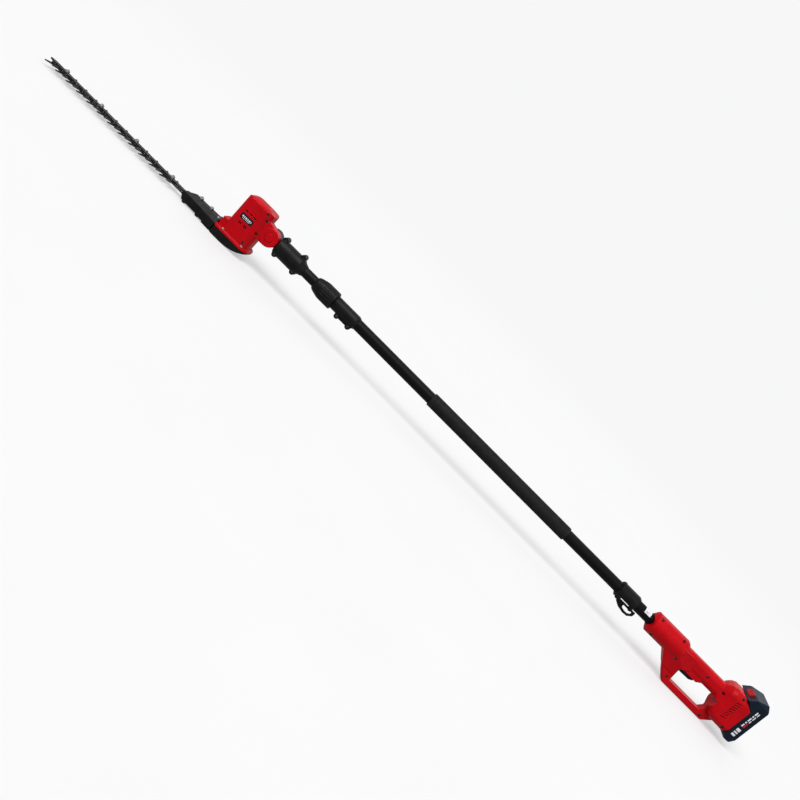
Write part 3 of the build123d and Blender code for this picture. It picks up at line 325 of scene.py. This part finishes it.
# Printed bars as shares of the label's box: x0, x1, z0, z1.
HEAD_BARS = [
    (0.12, 0.22, 0.40, 0.70), (0.27, 0.34, 0.40, 0.70), (0.39, 0.50, 0.40, 0.70),
    (0.55, 0.62, 0.40, 0.70), (0.67, 0.78, 0.40, 0.70), (0.83, 0.88, 0.40, 0.70),
    (0.20, 0.80, 0.22, 0.28),
]
BATTERY_BARS = [
    (0.24, 0.76, 0.08, 0.14), (0.24, 0.76, 0.17, 0.21), (0.24, 0.76, 0.24, 0.32),
    (0.26, 0.44, 0.40, 0.49), (0.26, 0.44, 0.52, 0.57), (0.26, 0.44, 0.60, 0.71),
    (0.26, 0.44, 0.74, 0.79), (0.26, 0.44, 0.82, 0.92),
    (0.56, 0.68, 0.58, 0.66), (0.56, 0.68, 0.69, 0.80), (0.56, 0.68, 0.83, 0.92),
]
BATTERY_ACCENTS = [(0.54, 0.70, 0.40, 0.54)]
STICKER_BARS = [(0.15, 0.5, 0.3, 0.42), (0.15, 0.85, 0.52, 0.6)]


def make_materials():
    """Every material, by the record's slot name."""
    made = {
        "red_plastic": red_plastic(),
        "black_tube": painted_tube(),
        "inner_tube": anodised_tube(),
        "grip_rubber": grip_rubber(),
        "blade_steel": blade_steel(),
        "board": circuit_board(),
        "sticker": sticker_film(),
    }
    for name, look in PLASTICS.items():
        made[name] = moulded_plastic(name, **look)
    for name, look in METALS.items():
        made[name] = plain_metal(name, **look)
    return made


def dress():
    """Gives every CAD node its finish."""
    made = make_materials()
    own = {
        "head_label": printed_film("head_label", HEAD_BARS),
        "battery_label": printed_film("battery_label", BATTERY_BARS, BATTERY_ACCENTS),
    }
    slots = {part["node"]: part["material_slot"] for part in frame["record"]["subparts"]}
    for name, piece in nodes.items():
        piece.data.materials.clear()
        piece.data.materials.append(own.get(name) or made[slots[name]])
        smooth_by_angle(piece)


def smooth_by_angle(piece, degrees=32):
    """Smooth shading that keeps real edges crisp."""
    bpy.context.view_layer.objects.active = piece
    for other in bpy.context.selected_objects:
        other.select_set(False)
    piece.select_set(True)
    bpy.ops.object.shade_auto_smooth(angle=math.radians(degrees))


# ------------------------------------------------------------------ studio
SKY = (0.93, 0.93, 0.935)
AMBIENT = 0.45
FLOOR_RADIUS = 60
GLOW_FROM, GLOW_TO = 1.3, 4.0  # metres from the middle over which the floor turns to glow
GLOW_LEAST = 0.5
# Camera: height angle, roll about the view, distance, lens, and the spot it looks at.
ELEVATION = math.radians(13.5)
ROLL = math.radians(45.117)
DISTANCE = 2.085
LENS = 41.05
TARGET_PAST_TUBE_END = 0.255
TARGET_DROP = 0.0526


def surround():
    """Even pale backdrop that lights the tool more dimly than it looks."""
    world = bpy.data.worlds.new("surround")
    world.use_nodes = True
    tree = world.node_tree
    dim = tree.nodes["Background"]
    dim.inputs["Color"].default_value = (*SKY, 1)
    dim.inputs["Strength"].default_value = AMBIENT
    pale = tree.nodes.new("ShaderNodeBackground")
    pale.inputs["Color"].default_value = (*SKY, 1)
    seen = tree.nodes.new("ShaderNodeLightPath")
    blend = tree.nodes.new("ShaderNodeMixShader")
    tree.links.new(seen.outputs["Is Camera Ray"], blend.inputs[0])
    tree.links.new(dim.outputs[0], blend.inputs[1])
    tree.links.new(pale.outputs[0], blend.inputs[2])
    tree.links.new(blend.outputs[0], tree.nodes["World Output"].inputs["Surface"])
    bpy.context.scene.world = world


def pale_floor():
    """Wide pale floor with a soft glow, so that shadows on it stay light."""
    bpy.ops.mesh.primitive_circle_add(
        vertices=96, radius=FLOOR_RADIUS, fill_type="NGON", location=(0, 0, 0)
    )
    floor = bpy.context.object
    floor.name = "floor"
    floor.visible_diffuse = False
    floor.visible_glossy = False
    t = Tree("floor")
    mottle = t.ramp(t.noise(0.3), 0.3, 0.7)
    t.set(Base_Color=t.mix(mottle, (0.80, 0.80, 0.805), (0.82, 0.82, 0.825)), Roughness=0.85)
    glow = t.tree.nodes.new("ShaderNodeEmission")
    glow.inputs["Color"].default_value = (*SKY, 1)
    reach = t.tree.nodes.new("ShaderNodeVectorMath")
    reach.operation = "LENGTH"
    t.link(t.place, reach.inputs[0])
    blend = t.tree.nodes.new("ShaderNodeMixShader")
    share = t.ramp(reach.outputs["Value"], GLOW_FROM, GLOW_TO, GLOW_LEAST, 1.0)
    t.link(share, blend.inputs[0])
    t.link(t.shader.outputs["BSDF"], blend.inputs[1])
    t.link(glow.outputs[0], blend.inputs[2])
    t.link(blend.outputs[0], t.output.inputs["Surface"])
    floor.data.materials.append(t.material)


def soft_light(name, towards, strength, spread):
    """Broad even light that shines from a direction, soft over spread degrees."""
    light = bpy.data.lights.new(name, "SUN")
    light.energy = strength
    light.angle = math.radians(spread)
    lamp = bpy.data.objects.new(name, light)
    bpy.context.scene.collection.objects.link(lamp)
    lamp.rotation_euler = Vector(towards).to_track_quat("Z", "Y").to_euler()


def studio():
    surround()
    pale_floor()
    soft_light("key", (-0.5, -0.8, 1.4), 2.4, 40)
    soft_light("fill", (0.9, -0.7, 0.5), 0.5, 60)
    soft_light("back", (0.3, 1.0, 0.8), 0.6, 60)


def photo_camera():
    """Camera on the tool's left, rolled so that the pole runs from upper left to lower right."""
    tube_low, tube_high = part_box("outer_tube")
    axis_z = (tube_low.z + tube_high.z) / 2
    level, rise = math.cos(ELEVATION), math.sin(ELEVATION)
    target = Vector((
        tube_low.x + TARGET_PAST_TUBE_END, -TARGET_DROP * rise, axis_z - TARGET_DROP * level
    ))
    back = Vector((0, -level, rise))
    along = Vector((1, 0, 0))
    up = back.cross(along)
    right = along * math.cos(ROLL) + up * math.sin(ROLL)
    top = up * math.cos(ROLL) - along * math.sin(ROLL)
    data = bpy.data.cameras.new("camera")
    data.sensor_width = 36.0
    data.lens = LENS
    data.clip_start = 0.01
    data.clip_end = 200
    camera = bpy.data.objects.new("camera", data)
    bpy.context.scene.collection.objects.link(camera)
    turn = Matrix((right, top, back)).transposed().to_4x4()
    camera.matrix_world = Matrix.Translation(target + back * DISTANCE) @ turn
    bpy.context.scene.camera = camera


bpy.context.scene.view_settings.view_transform = "Standard"
photo_camera()
studio()
dress()
